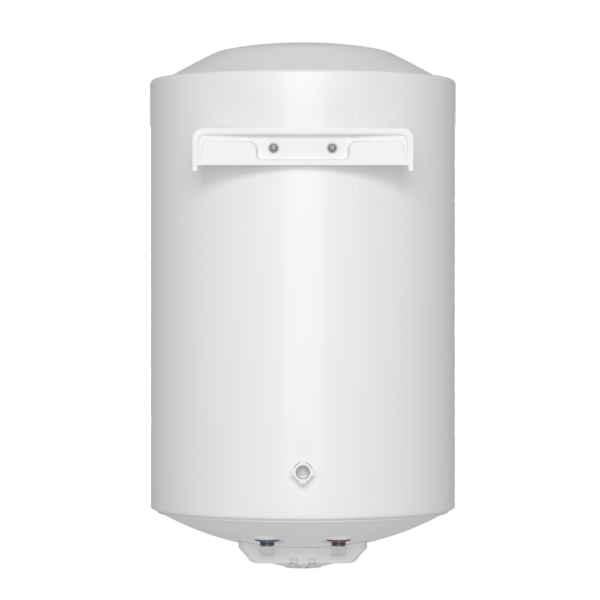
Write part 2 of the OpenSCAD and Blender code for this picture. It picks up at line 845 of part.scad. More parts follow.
// Outline of the pressed recess: a deep pad in the middle and a shallow band over each side panel
module recess_outline(inset) {
    pad_half = pad_w / 2 - inset;
    band_low = panel_top + inset;
    difference() {
        union() {
            translate([-pad_half, strip_h + inset]) square([2 * pad_half, recess_top - strip_h - 2 * inset]);
            translate([-panel_end + inset, band_low])
                square([2 * (panel_end - inset), recess_top - inset - band_low]);
            for (side = [-1, 1]) translate([side * (pad_half + panel_fillet / 2), band_low - panel_fillet / 2])
                square(panel_fillet + eps, center = true);
        }
        for (side = [-1, 1]) translate([side * (pad_half + panel_fillet), band_low - panel_fillet])
            circle(r = panel_fillet);
    }
}

// Stands a flat outline up in the X-Z plane between two depths
module upright(low, high) {
    translate([0, high, bracket_up]) rotate([90, 0, 0]) linear_extrude(high - low) children();
}

// Side view from above of the recess floor, flat at the pad and rising to the web at its ends
module floor_wedge(back, front) {
    pad_half = pad_w / 2 + panel_fillet;
    translate([0, 0, bracket_up]) linear_extrude(bracket_h) polygon([[-pad_half, pad_back + back],
        [pad_half, pad_back + back], [panel_end, wall_y - bracket_t + back], [panel_end, front],
        [-panel_end, front], [-panel_end, wall_y - bracket_t + back]]);
}

module hanging_bracket() {
    color("white") in_frame() difference() {
        union() {
            difference() {
                upright(wall_y - bracket_t, wall_y) web_outline();
                upright(wall_y - bracket_t - eps, wall_y + eps) recess_outline(0);
            }
            intersection() {
                floor_wedge(0, wall_y);
                upright(pad_back, wall_y - eps) difference() {
                    recess_outline(-eps);
                    recess_outline(bracket_t);
                }
            }
            intersection() {
                difference() {
                    floor_wedge(0, wall_y);
                    floor_wedge(bracket_t, wall_y + eps);
                }
                upright(pad_back, wall_y) recess_outline(0);
            }
        }
        both_sides() translate([screw_pitch / 2, 0, bracket_up + screw_up])
            y_disc(screw_r + bolt_gap, pad_back - eps, wall_y);
        upright(wall_y - 0.8, wall_y + eps) translate([-panel_end, recess_top + eps])
            square([2 * panel_end, groove_w]);
    }
}

module screw_places() {
    both_sides() translate([screw_pitch / 2, 0, bracket_up + screw_up]) children();
}

module bracket_screws() {
    under_head = pad_back + bracket_t + washer_t;
    color("silver") in_frame() screw_places() difference() {
        union() {
            y_disc(screw_head_r, under_head, under_head + screw_head_h - 1);
            y_disc(screw_head_r - 1, under_head, under_head + screw_head_h);
            y_disc(screw_r, tank_r + hanger_t + 3, under_head + eps);
        }
        for (turn = [0, 90]) translate([0, under_head + screw_head_h, 0]) rotate([0, turn, 0])
            translate([-3, -2.2, -0.6]) cube([6, 3, 1.2]);
    }
}

module bracket_washers() {
    floor_y = pad_back + bracket_t;
    color("silver") in_frame() screw_places() difference() {
        y_disc(washer_r, floor_y, floor_y + washer_t);
        y_disc(screw_r + bolt_gap, floor_y - eps, floor_y + washer_t + eps);
    }
}

// Curved plate on the tank wall with the two bosses that reach out to the bracket
module hanger_shape(grow) {
    mid = bracket_up + screw_up;
    difference() {
        union() {
            intersection() {
                tube(tank_r + hanger_t + grow, tank_r + seat_gap - grow, mid - hanger_h / 2 - grow,
                    mid + hanger_h / 2 + grow);
                box([-hanger_w / 2 - grow, 0, -far], [hanger_w / 2 + grow, far, far]);
            }
            screw_places() y_disc(boss_r + grow, tank_r - 5, pad_back - eps);
        }
        disc(tank_r + seat_gap - grow, mid - far, mid + far);
    }
}

module hanger_plate() {
    color("slategray") in_frame() difference() {
        hanger_shape(0);
        screw_places() y_disc(screw_r + eps / 2, tank_r + hanger_t, far);
    }
}

module spacer_socket() {
    color("white") in_frame() translate([0, 0, -spacer_down]) difference() {
        y_disc(socket_r, tank_r + body_gap, jacket_r + seat_gap);
        y_disc(spacer_tube_r + run_gap, tank_r, jacket_r + 1);
    }
}

module spacer_knob() {
    color("white") in_frame() translate([0, 0, -spacer_down]) difference() {
        union() {
            y_disc(spacer_tube_r, spacer_end, wall_y);
            for (turn = [0, 90]) rotate([0, turn, 0])
                box([-spacer_w / 2, wall_y - lug_t, -lug_w / 2], [spacer_w / 2, wall_y, lug_w / 2]);
        }
        y_disc(spacer_hole_d / 2, spacer_end - eps, wall_y + eps);
    }
}

module spacer_core() {
    color("white") in_frame() translate([0, 0, -spacer_down]) {
        y_disc(spacer_hole_d / 2 - run_gap, core_y, core_y + 2);
        y_disc(5, core_y, core_y + 4);
    }
}

module gauge_place() {
    translate([0, 0, -gauge_down]) mirror([0, 1, 0]) children();
}

module thermometer_housing() {
    color("dimgray") in_frame() gauge_place() difference() {
        union() {
            y_disc(gauge_r, gauge_back, jacket_r - 2.5);
            y_disc(4, tank_r + body_gap, gauge_back + eps);
        }
        y_disc(gauge_r - 1.5, gauge_back + 1.5, jacket_r);
    }
}

module thermometer_dial() {
    color("white") in_frame() gauge_place() difference() {
        y_disc(gauge_r - 1.7, dial_y - 1, dial_y);
        y_disc(pin_r + run_gap, dial_y - 2, dial_y + 1);
    }
}

module thermometer_pointer() {
    color("black") in_frame() gauge_place() {
        y_disc(pin_r, dial_y - 4, dial_y + 2);
        y_disc(2.5, dial_y + 0.6, dial_y + 2);
        box([-0.7, dial_y + 0.8, 0], [0.7, dial_y + 1.6, gauge_r - 6]);
    }
}

module thermometer_lens() {
    color("lightcyan") in_frame() gauge_place() y_disc(gauge_r - 0.5, jacket_r - 0.8, jacket_r + 1.2);
}

module thermometer_bezel() {
    color("silver") in_frame() gauge_place() difference() {
        y_disc(bezel_d / 2, jacket_r - 6, jacket_r + 3);
        y_disc(gauge_r - 0.5 + weld_gap, jacket_r - 7, jacket_r + 1.3);
        y_disc(gauge_r - 2.5, jacket_r, jacket_r + 4);
        disc(jacket_r + seat_gap, -far, far);
    }
}

outer_jacket();
top_cap();
bottom_cap();
insulation_foam();
tank_shell();
tank_top_head();
tank_bottom_head();
flange_collar();
flange_gasket();
heater_flange();
flange_bolts();
heating_elements();
element_terminals();
magnesium_anode();
anode_nut();
thermostat_pocket();
thermostat_bulb();
thermostat_body();
thermostat_shaft();
thermal_cutout();
reset_button();
terminal_block();
terminal_screws();
earth_stud();
internal_wires();
cold_inlet_nipple();
hot_outlet_nipple();
cold_inlet_ring();
hot_outlet_ring();
inlet_diffuser();
hot_standpipe();
control_cover();
cover_screws();
temperature_knob();
pilot_lamp_lens();
pilot_lamp_body();
cable_entry_block();
cable_clamp_bar();
clamp_screws();
hanging_bracket();
bracket_screws();
bracket_washers();
hanger_plate();
spacer_socket();
spacer_core();
spacer_knob();
thermometer_housing();
thermometer_dial();
thermometer_pointer();
thermometer_lens();
thermometer_bezel();
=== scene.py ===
import json
import math

import bmesh
import bpy
import numpy as np
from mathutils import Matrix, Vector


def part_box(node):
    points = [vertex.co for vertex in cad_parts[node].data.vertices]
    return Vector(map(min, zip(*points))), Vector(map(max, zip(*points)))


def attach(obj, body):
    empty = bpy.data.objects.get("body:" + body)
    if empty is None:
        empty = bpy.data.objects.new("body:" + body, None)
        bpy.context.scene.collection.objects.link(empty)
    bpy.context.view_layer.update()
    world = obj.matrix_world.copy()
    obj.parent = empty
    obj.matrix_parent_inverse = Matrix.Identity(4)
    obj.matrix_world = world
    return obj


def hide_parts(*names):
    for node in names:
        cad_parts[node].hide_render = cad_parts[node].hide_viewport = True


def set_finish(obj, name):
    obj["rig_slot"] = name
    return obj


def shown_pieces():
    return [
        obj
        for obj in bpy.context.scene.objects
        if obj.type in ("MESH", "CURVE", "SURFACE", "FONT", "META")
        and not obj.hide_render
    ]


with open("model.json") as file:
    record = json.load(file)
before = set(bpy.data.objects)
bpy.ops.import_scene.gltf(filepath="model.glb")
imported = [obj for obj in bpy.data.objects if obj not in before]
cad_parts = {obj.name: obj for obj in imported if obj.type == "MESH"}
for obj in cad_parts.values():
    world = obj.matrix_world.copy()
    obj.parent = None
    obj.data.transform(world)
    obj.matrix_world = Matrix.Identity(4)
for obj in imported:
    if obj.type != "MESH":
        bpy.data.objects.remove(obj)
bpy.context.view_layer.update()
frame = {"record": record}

# ---------------------------------------------------------------- places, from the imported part
MM = 0.001
low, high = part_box("outer_jacket")
AXIS = np.array((low + high) / 2)  # middle of the tank's own axis


def extent(node):
    """Lowest and highest corner of a CAD node in millimetres, measured from the tank's axis."""
    lo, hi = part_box(node)
    return (np.array(lo) - AXIS) / MM, (np.array(hi) - AXIS) / MM


JACKET_R = extent("outer_jacket")[1][0]
HALF_H = extent("outer_jacket")[1][2]
CAP_R = extent("top_cap")[1][0]
CAP_TOP = extent("top_cap")[1][2]
SKIRT = extent("top_cap")[0][2]
DISH_LOW = extent("bottom_cap")[0][2]
WALL_Y = extent("hanging_bracket")[1][1]


# ---------------------------------------------------------------- building surfaces
def surface(name, points, around=False, along=False, keep=None, facing=None, sharp=35):
    """A grid of points joined into quads. around and along close it on itself, keep drops cells,
    and facing gives the outward direction of each point where the surface is open."""
    n, m = points.shape[:2]
    index = np.arange(n * m).reshape(n, m)
    if around:
        index = np.vstack([index, index[:1]])
    if along:
        index = np.hstack([index, index[:, :1]])
    quads = np.stack([index[:-1, :-1], index[1:, :-1], index[1:, 1:], index[:-1, 1:]], -1)
    quads = quads[keep] if keep is not None else quads.reshape(-1, 4)
    flat = points.reshape(-1, 3)
    if facing is not None:
        a, b, c = (flat[quads[:, k]] for k in (0, 1, 2))
        out = facing.reshape(-1, 3)[quads[:, 0]]
        if (np.cross(b - a, c - a) * out).sum() < 0:
            quads = quads[:, ::-1]
    used, new = np.unique(quads, return_inverse=True)
    mesh = bpy.data.meshes.new(name)
    mesh.from_pydata((flat[used] * MM + AXIS).tolist(), [], new.reshape(-1, 4).tolist())
    work = bmesh.new()
    work.from_mesh(mesh)
    bmesh.ops.remove_doubles(work, verts=work.verts, dist=1e-6)
    if facing is None:
        bmesh.ops.recalc_face_normals(work, faces=work.faces)
    work.to_mesh(mesh)
    work.free()
    mesh.shade_smooth()
    mesh.set_sharp_from_angle(angle=math.radians(sharp))
    piece = bpy.data.objects.new(name, mesh)
    bpy.context.scene.collection.objects.link(piece)
    return piece


def rounded(corners, steps=5):
    """Closed outline through corners (across, along, radius), each corner turned into an arc."""
    path = []
    for k, (x, y, r) in enumerate(corners):
        here = np.array([x, y], float)
        if r <= 0:
            path.append(here)
            continue
        back = np.array(corners[k - 1][:2], float) - here
        ahead = np.array(corners[(k + 1) % len(corners)][:2], float) - here
        back, ahead = back / np.linalg.norm(back), ahead / np.linalg.norm(ahead)
        half = math.acos(np.clip(back @ ahead, -1, 1)) / 2
        middle = here + (back + ahead) / np.linalg.norm(back + ahead) * r / math.sin(half)
        start, end = here + back * r / math.tan(half) - middle, here + ahead * r / math.tan(half) - middle
        for t in np.linspace(0, 1, steps + 1):
            arm = start * (1 - t) + end * t
            path.append(middle + arm / np.linalg.norm(arm) * r)
    return np.array(path)


def turned(profile, angles=128, centre=(0, 0), axis="z", radius_scale=None):
    """A profile (radius, height) turned about an upright axis, or about one along +Y for axis "y".
    Each point is (r cos a, r sin a, height)."""
    a = np.linspace(0, 2 * math.pi, angles, endpoint=False)[:, None]
    r = np.broadcast_to(profile[None, :, 0], (angles, len(profile)))
    if radius_scale is not None:
        r = radius_scale(a, r, profile[None, :, 1])
    h = np.broadcast_to(profile[None, :, 1], r.shape)
    if axis == "z":
        return np.stack([centre[0] + r * np.cos(a), centre[1] + r * np.sin(a), h], -1)
    return np.stack([centre[0] + r * np.cos(a), h, centre[1] + r * np.sin(a)], -1)


def smooth(t):
    """Eased step from 0 to 1."""
    t = np.clip(t, 0, 1)
    return t * t * (3 - 2 * t)


def band(across, start, stop, edge):
    """1 between start and stop, eased to 0 over an edge at each end."""
    return smooth((across - start) / edge) * (1 - smooth((across - stop) / edge))


def outside_hole(inside):
    """The cells of a grid that closes round which have a corner outside a hole."""
    wrapped = np.vstack([inside, inside[:1]])
    return ~(wrapped[:-1, :-1] & wrapped[1:, :-1] & wrapped[1:, 1:] & wrapped[:-1, 1:])


def lines(start, stop, step, *fine):
    """Grid lines from start to stop, with closer ones in each (middle, reach, step) of fine."""
    rows = [np.linspace(start, stop, int(round((stop - start) / step)) + 1)]
    rows += [np.arange(m - reach, m + reach, s) for m, reach, s in fine]
    every = np.unique(np.concatenate(rows))
    keep = np.concatenate([[True], np.diff(every) > 0.35 * min([step] + [f[2] for f in fine])])
    return every[keep]


def show(piece, body, slot, *nodes):
    """Rides the piece on its body and stands it for its CAD nodes."""
    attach(piece, body)
    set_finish(piece, slot)
    if nodes:
        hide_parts(*nodes)
    return piece


def sheet_metal(piece, thickness):
    """Gives an open skin its sheet thickness, inwards."""
    wall = piece.modifiers.new("thickness", "SOLIDIFY")
    wall.thickness = thickness * MM
    wall.offset = -1


# ---------------------------------------------------------------- jacket
RIM_R = 7
HEM_R = 2.2
HEM_DEPTH = 9
SEAM_DEG = 109.3
SEAM_LIFT = 0.5
SPACER_HOLE = 13.6
GAUGE_HOLE = 26.8
spacer_lo, spacer_hi = extent("spacer_knob")
SPACER_Z = (spacer_lo[2] + spacer_hi[2]) / 2
bezel_lo, bezel_hi = extent("thermometer_bezel")
GAUGE_Z = (bezel_lo[2] + bezel_hi[2]) / 2


def jacket():
    """Straight cylinder of radius R whose ends roll over a quarter circle and turn into a hem.
    One upright lap seam lifts the sheet by half a millimetre and eases back over 14 degrees.
    Cells inside the spacer's and the thermometer's holes are left out, and the cells that cross
    a hole's edge are drawn back to its circle."""
    turn = np.radians(lines(0, 357.5, 2.5, (90, 6, 0.32), (270, 8, 0.4), (SEAM_DEG, 1.2, 0.08)))
    wall = lines(RIM_R - HALF_H, HALF_H - RIM_R, 22, (SPACER_Z, 19, 1.2), (GAUGE_Z, 30, 1.5))
    bend = np.radians(np.linspace(0, 90, 9))
    small = np.radians(np.linspace(90, 180, 6))
    roll_r = np.concatenate([JACKET_R - RIM_R + RIM_R * np.cos(bend[1:]),
        JACKET_R - RIM_R + HEM_R * np.cos(small[1:]), [JACKET_R - RIM_R - HEM_R]])
    roll_z = np.concatenate([HALF_H - RIM_R + RIM_R * np.sin(bend[1:]),
        HALF_H - HEM_R + HEM_R * np.sin(small[1:]), [HALF_H - HEM_DEPTH]])
    r = np.concatenate([roll_r[::-1], np.full(len(wall), JACKET_R), roll_r])
    z = np.concatenate([-roll_z[::-1], wall, roll_z])
    past = (np.degrees(turn) - SEAM_DEG)[:, None]
    lap = SEAM_LIFT * smooth(past / 0.16) * (1 - smooth(past / 14)) * (np.abs(z) < HALF_H - 1)[None, :]
    radius = r[None, :] + lap
    x, y = radius * np.cos(turn)[:, None], radius * np.sin(turn)[:, None]
    zz = np.broadcast_to(z, x.shape).copy()
    keep = np.ones((len(turn), len(z) - 1), bool)
    for side, at, hole in ((1, SPACER_Z, SPACER_HOLE), (-1, GAUGE_Z, GAUGE_HOLE)):
        away = np.where(y * side > 0, np.hypot(x, zz - at), 1e6)
        inside = away < hole
        keep &= outside_hole(inside)
        scale = np.where(inside, hole / np.maximum(away, 1), 1)
        x, zz = x * scale, at + (zz - at) * scale
        y = np.where(inside, side * np.sqrt(np.maximum(JACKET_R**2 - x**2, 0)), y)
    points = np.stack([x, y, zz], -1)
    straight = np.stack([x, y, 0 * zz], -1)
    middle = np.abs(zz) < HALF_H - RIM_R
    facing = np.where(middle[..., None], straight, 0)
    return surface("jacket_skin", points, around=True, keep=keep, facing=facing)


# ---------------------------------------------------------------- caps
CROWN_R = 650
FLANK = math.tan(math.radians(28.6))
LEDGE_Z = HALF_H - 0.5
LEDGE_W = 9.4
FOOT_R = CAP_R - LEDGE_W
CAP_SHEET = 1


def top_height(r):
    """Height of the top cap: the lower of a gentle crown and a straight flank, eased together
    over 1.5 mm, and eased again into the flat ledge at its foot."""
    crown = CAP_TOP - r**2 / (2 * CROWN_R)
    flank = LEDGE_Z + (FOOT_R - r) * FLANK
    top = (crown + flank - np.sqrt((crown - flank) ** 2 + 9)) / 2
    return (top + LEDGE_Z + np.sqrt((top - LEDGE_Z) ** 2 + 1.6)) / 2


def top_cap():
    """The top cap's height over its radius, turned once round, with an upright skirt."""
    r = np.concatenate([np.linspace(0, 90, 16), np.linspace(96, CAP_R - 2, 60)])
    z = np.minimum(top_height(r), CAP_TOP)
    edge = rounded([(CAP_R - 2, LEDGE_Z, 0), (CAP_R, LEDGE_Z, 1.4), (CAP_R, SKIRT, 0),
        (CAP_R - CAP_SHEET, SKIRT, 0), (CAP_R - CAP_SHEET, LEDGE_Z - CAP_SHEET, 0)])
    profile = np.concatenate([np.stack([r, z], -1), edge[1:], np.stack([r, z - CAP_SHEET], -1)[::-1]])
    return surface("top_cap_dome", turned(profile, 180), around=True)


DISH_R = 418
EDGE_R = CAP_R - 5
HATCH_R = 72  # the access opening that the control cover hides
SEAT_FLAT = 17.5
SEAT_EASE = 8
PIPE_HOLE = 10.85
PIPE_DEG, PIPE_AWAY = 68.2, 134.6  # where the grid is closest: the pipes' direction and distance
dish_centre = DISH_LOW + math.sqrt(DISH_R**2 - HATCH_R**2)
DISH_TIP = dish_centre - DISH_R  # where the dish would end, inside the access opening
LIP_Z = dish_centre - math.sqrt(DISH_R**2 - EDGE_R**2)
ring_lo, ring_hi = extent("cold_inlet_ring")
SEAT_Z = ring_hi[2] + 1.4
PIPE = (ring_lo[:2] + ring_hi[:2]) / 2


def dish(r):
    """Height of the bottom cap's spherical dish."""
    return dish_centre - np.sqrt(DISH_R**2 - r**2)


def bottom_cap():
    """A shallow spherical dish with an upright lip. Round each pipe the height eases over 8 mm
    into a flat pressed seat, and the pipe's own hole is left out."""
    turn = np.radians(lines(0, 357, 3, (PIPE_DEG, 11.5, 0.6), (180 - PIPE_DEG, 11.5, 0.6)))
    r = lines(HATCH_R + 2, EDGE_R - 1, 6, (PIPE_AWAY, 27, 1.4))
    lip = rounded([(EDGE_R - 1, LIP_Z - 0.3, 0), (CAP_R, LIP_Z, 2), (CAP_R, -SKIRT, 0)])[1:]
    rr = np.concatenate([r, lip[:, 0]])
    x, y = rr * np.cos(turn)[:, None], rr * np.sin(turn)[:, None]
    z = np.broadcast_to(np.concatenate([dish(r), lip[:, 1]]), x.shape).copy()
    keep = np.ones((len(turn), len(rr) - 1), bool)
    for side in (1, -1):
        away = np.hypot(x - side * PIPE[0], y - PIPE[1])
        press = 1 - smooth((away - SEAT_FLAT) / SEAT_EASE)
        z = z * (1 - press) + SEAT_Z * press
        inside = away < PIPE_HOLE
        keep &= outside_hole(inside)
        scale = np.where(inside, PIPE_HOLE / np.maximum(away, 0.5), 1)
        x = side * PIPE[0] + (x - side * PIPE[0]) * scale
        y = PIPE[1] + (y - PIPE[1]) * scale
    points = np.stack([x, y, z], -1)
    facing = np.where((rr < EDGE_R - 2)[None, :, None], np.array([0.0, 0.0, -1.0]), 0)
    return surface("bottom_cap_dish", points, around=True, keep=keep,
        facing=np.broadcast_to(facing, points.shape))


# ---------------------------------------------------------------- hanging bracket
bracket_lo, bracket_hi = extent("hanging_bracket")
LEG = 8.4
EDGE_Z = bracket_lo[2] + LEG
BRACKET_H = bracket_hi[2] - EDGE_Z
BRACKET_HALF = bracket_hi[0]
RECESS_TOP = BRACKET_H - 7.8
PANEL_END = BRACKET_HALF - 13.5
PAD_HALF = 63.7
PAD_DEPTH = 10.5
LEG_R = 3.4
FILLET = 8


def slab(x, z, half, bottom, top, r):
    """Distance to an upright rectangle with rounded corners, negative inside."""
    across = np.abs(x) - half + r
    up = np.abs(z - (bottom + top) / 2) - (top - bottom) / 2 + r
    return np.hypot(np.maximum(across, 0), np.maximum(up, 0)) + np.minimum(np.maximum(across, up), 0) - r


def bracket_edge(x, z):
    """Distance to the bracket's outline: a plate with two rounded upper corners and a round-ended leg
    at each end of its lower edge."""
    r = np.where(z > BRACKET_H / 2, 14.3, 0.8)
    plate = slab(x, z, BRACKET_HALF, 0, BRACKET_H, r)
    leg = np.hypot(np.abs(x) - BRACKET_HALF + LEG_R, z - np.clip(z, LEG_R - LEG, 12)) - LEG_R
    return np.minimum(plate, leg)


def bracket():
    """One pressed sheet whose depth is a floor times an eased mask. The mask is all that lies inside
    a rim and outside two raised side panels and a low strip, which join each other by an 8 mm fillet.
    The floor is 10.5 mm deep at the middle pad and falls to a fifth of that at the panel ends. A narrow
    groove runs under the top lip."""
    x = lines(-BRACKET_HALF - 0.5, BRACKET_HALF + 0.5, 1.1)
    z = lines(-LEG - 0.4, BRACKET_H + 0.4, 0.62)
    xx, zz = np.meshgrid(x, z, indexing="ij")
    inside = bracket_edge(xx, zz) <= 0
    for _ in range(3):
        d, e = bracket_edge(xx, zz), 1e-3
        gx = (bracket_edge(xx + e, zz) - bracket_edge(xx - e, zz)) / (2 * e)
        gz = (bracket_edge(xx, zz + e) - bracket_edge(xx, zz - e)) / (2 * e)
        near = (d > 0) & (d < 1.6)
        xx, zz = xx - np.where(near, d * gx, 0), zz - np.where(near, d * gz, 0)
    keep = inside[:-1, :-1] | inside[1:, :-1] | inside[1:, 1:] | inside[:-1, 1:]
    rim = slab(xx, zz, BRACKET_HALF - 7.5, -60, RECESS_TOP, 9)
    panel_mid, panel_wide = (PAD_HALF + PANEL_END) / 2, (PANEL_END - PAD_HALF) / 2
    panel = slab(np.abs(xx) - panel_mid, zz, panel_wide, -60, 31.3, 9.5)
    strip = zz - 6.5
    corner = np.hypot(np.maximum(FILLET - panel, 0), np.maximum(FILLET - strip, 0))
    raised = np.maximum(FILLET, np.minimum(panel, strip)) - corner
    mask = smooth(-np.maximum(rim, -raised) / 2.4)
    fade = 1 - 0.8 * np.clip((np.abs(xx) - PAD_HALF - 4) / (PANEL_END - PAD_HALF - 4), 0, 1)
    groove = np.exp(-(((zz - RECESS_TOP - 0.9) / 0.55) ** 2)) * smooth((PANEL_END - np.abs(xx)) / 3)
    depth = mask * PAD_DEPTH * fade + 0.6 * groove
    points = np.stack([xx, WALL_Y - depth, zz + EDGE_Z], -1)
    facing = np.broadcast_to(np.array([0.0, 1.0, 0.0]), points.shape)
    return surface("bracket_pressing", points, keep=keep, facing=facing)


# ---------------------------------------------------------------- screws
def pan_head(name, centre, base, height, radius, axis, sign, cross=0.75):
    """A domed head, height h (1 - (r / R)^3.4)^0.5 over a short upright side, with a cross recess
    pressed half its height into it that tapers to its floor. The head closes on its flat underside."""
    a = np.linspace(0, 2 * math.pi, 120, endpoint=False)[:, None]
    r = np.concatenate([np.linspace(0, radius, 34), [radius, 0]])[None, :]
    dome = height * (0.22 + 0.78 * np.sqrt(np.maximum(1 - (r / radius) ** 3.4, 0)))
    u, v = np.abs(r * np.cos(a)), np.abs(r * np.sin(a))
    reach = 0.56 * radius
    arm = np.minimum(np.maximum(u - reach, v - cross), np.maximum(v - reach, u - cross))
    h = dome - 0.52 * height * smooth(-arm / 0.55 + 0.2)
    h[:, -2:] = 0
    x, y = centre[0] + r * np.cos(a), centre[1] + r * np.sin(a)
    up = base + sign * h
    points = np.stack([x, up, y] if axis == "y" else [x, y, up], -1)
    return surface(name, points, around=True, sharp=48)


def join(name, pieces):
    """Several surfaces of one piece in one mesh."""
    work = bmesh.new()
    for piece in pieces:
        work.from_mesh(piece.data)
        bpy.data.objects.remove(piece)
    mesh = bpy.data.meshes.new(name)
    work.to_mesh(mesh)
    work.free()
    mesh.shade_smooth()
    mesh.set_sharp_from_angle(angle=math.radians(40))
    whole = bpy.data.objects.new(name, mesh)
    bpy.context.scene.collection.objects.link(whole)
    return whole


def rod(name, centre, radius, start, end, axis):
    """A plain round shank with a small chamfer at each end."""
    c = 0.3
    profile = np.array([(0, start), (radius - c, start), (radius, start + c), (radius, end - c),
        (radius - c, end), (0, end)], float)
    return surface(name, turned(profile, 48, centre, axis), around=True)


SCREW_HEAD_R, SCREW_SHANK_R = 5.7, 2.9
WASHER_R, WASHER_BORE = 7.25, 3.3
COVER_SCREW_R = 3.6


def bracket_screws():
    """Two pan heads on their washers, each on its shank."""
    lo, hi = extent("bracket_screws")
    floor = extent("bracket_washers")[1][1]
    parts = []
    for side in (1, -1):
        at = (side * (hi[0] - SCREW_HEAD_R), (lo[2] + hi[2]) / 2)
        parts.append(pan_head("head", at, floor, hi[1] - floor, SCREW_HEAD_R, "y", 1, 0.95))
        parts.append(rod("shank", at, SCREW_SHANK_R, lo[1], floor, "y"))
    return join("bracket_screw_heads", parts)


def washers():
    """Two flat rings with rounded edges."""
    lo, hi = extent("bracket_washers")
    section = rounded([(WASHER_BORE, lo[1], 0), (WASHER_R, lo[1], 0), (WASHER_R, hi[1], 0.5),
        (WASHER_BORE, hi[1], 0.3)])
    z = (lo[2] + hi[2]) / 2
    return join("bracket_washer_rings", [surface("ring", turned(section, 96, (side * (hi[0] - WASHER_R), z),
        "y"), around=True, along=True) for side in (1, -1)])


# ---------------------------------------------------------------- wall spacer
TUBE_R, TUBE_BORE = 13, 9.65
LUG_LONG, LUG_HALF = 6.5, 4.55
STEP = 0.001  # the lugs' end of the tube is this much wider than the plain one


def spacer():
    """A thick tube whose last 6.5 mm grow four square lugs. At angle a from a lug's middle the outer
    radius is the nearest of the lug's flat end and its side, and never less than the tube's."""
    back, front, reach = spacer_lo[1], spacer_hi[1], spacer_hi[0]
    section = rounded([(TUBE_BORE, back, 0), (TUBE_R, back, 0.5), (TUBE_R, front - LUG_LONG - 0.1, 0),
        (TUBE_R + STEP, front - LUG_LONG, 0), (TUBE_R + STEP, front, 0.7), (TUBE_BORE, front, 0.7)], 4)

    def lugs(a, r, h):
        near = np.abs((a + math.pi / 4) % (math.pi / 2) - math.pi / 4)
        end = reach / np.cos(near)
        side = LUG_HALF / np.maximum(np.sin(near), 1e-6)
        lug = np.maximum(TUBE_R, np.minimum(end, side))
        grows = (h > front - LUG_LONG - 0.05) & (r > (TUBE_R + TUBE_BORE) / 2)
        return np.where(grows, r + (lug - TUBE_R), r)

    return surface("spacer_four_lugs", turned(section, 360, (0, SPACER_Z), "y", lugs), around=True,
        along=True)


def socket():
    """A plain sleeve turned about the spacer's axis. It ends 2 mm behind the jacket's sheet."""
    lo, hi = extent("spacer_socket")
    bore, outer, end = 13.1, 15.9, hi[1] - 2
    section = rounded([(bore, lo[1], 0), (outer, lo[1], 0.3), (outer, end, 0.3), (bore, end, 0.3)])
    return surface("spacer_sleeve", turned(section, 96, (0, SPACER_Z), "y"), around=True, along=True)


def core():
    """The spacer's inner disc with a rounded round boss in its middle."""
    lo, hi = extent("spacer_core")
    section = rounded([(0, lo[1], 0), (9.5, lo[1], 0), (9.5, lo[1] + 2, 0.3), (5, lo[1] + 2, 0.4),
        (5, hi[1], 0.8), (0, hi[1], 0)])
    return surface("spacer_core_disc", turned(section, 96, (0, SPACER_Z), "y"), around=True)


# ---------------------------------------------------------------- nipples and rings
PITCH = 1.814
THREAD_R, PIPE_BORE = 10.48, 7.5


def nipple(name, node, ring_node):
    """A pipe with a G1/2 thread at its lower end. The thread's radius falls by up to 1.1 mm as a
    rounded 55 degree V, with its phase height / pitch - angle / turn, and fades at both ends."""
    lo, hi = extent(node)
    ring = extent(ring_node)[0][2]
    centre = (lo[:2] + hi[:2]) / 2
    shank = (hi[0] - lo[0]) / 2
    crest, end, stop = THREAD_R, lo[2], ring - 0.6
    rows = np.linspace(end, stop, 66)
    r = np.concatenate([[PIPE_BORE, PIPE_BORE + 0.4, 9.3], np.full(len(rows), crest),
        [shank, shank, PIPE_BORE, PIPE_BORE]])
    h = np.concatenate([[end + 0.4, end, end], rows, [stop + 0.01, hi[2], hi[2], end + 5]])

    def thread(a, rr, hh):
        phase = (hh - end) / PITCH - a / (2 * math.pi)
        wave = np.abs(2 * (phase % 1) - 1)
        v = 1.1 * smooth((wave - 0.08) / 0.84)
        cut = v * smooth((stop - hh) / 0.7)
        chamfer = np.maximum(1.15 - 1.1 * (hh - end), 0)
        live = (np.abs(rr - crest) < 1e-6) & (hh >= end)
        return np.where(live, crest - np.maximum(cut, chamfer), rr)

    return surface(name, turned(np.stack([r, h], -1), 144, centre, "z", thread), around=True,
        along=True, sharp=50)


def ring(name, node):
    """A flat coloured ring with rounded edges, a touch higher at its outer side."""
    lo, hi = extent(node)
    outer, centre = (hi[0] - lo[0]) / 2, (lo[:2] + hi[:2]) / 2
    under, top = lo[2] + 0.6, SEAT_Z - 0.1
    section = rounded([(PIPE_HOLE, under, 0.3), (outer, under, 0.7), (outer, top, 0.3), (PIPE_HOLE, top, 0)])
    points = turned(section, 128, centre)
    points[..., 2] += 0.02 * np.sign(centre[0]) * (points[..., 0] - centre[0])
    return surface(name, points, around=True, along=True)


# ---------------------------------------------------------------- knob and thermometer
knob_lo, knob_hi = extent("temperature_knob")
COVER_Y = (knob_lo[1] + knob_hi[1]) / 2
CROWN_FALL = 392  # the knob's face and the cover's crown fall by r^2 / 392
FLUTES = 24


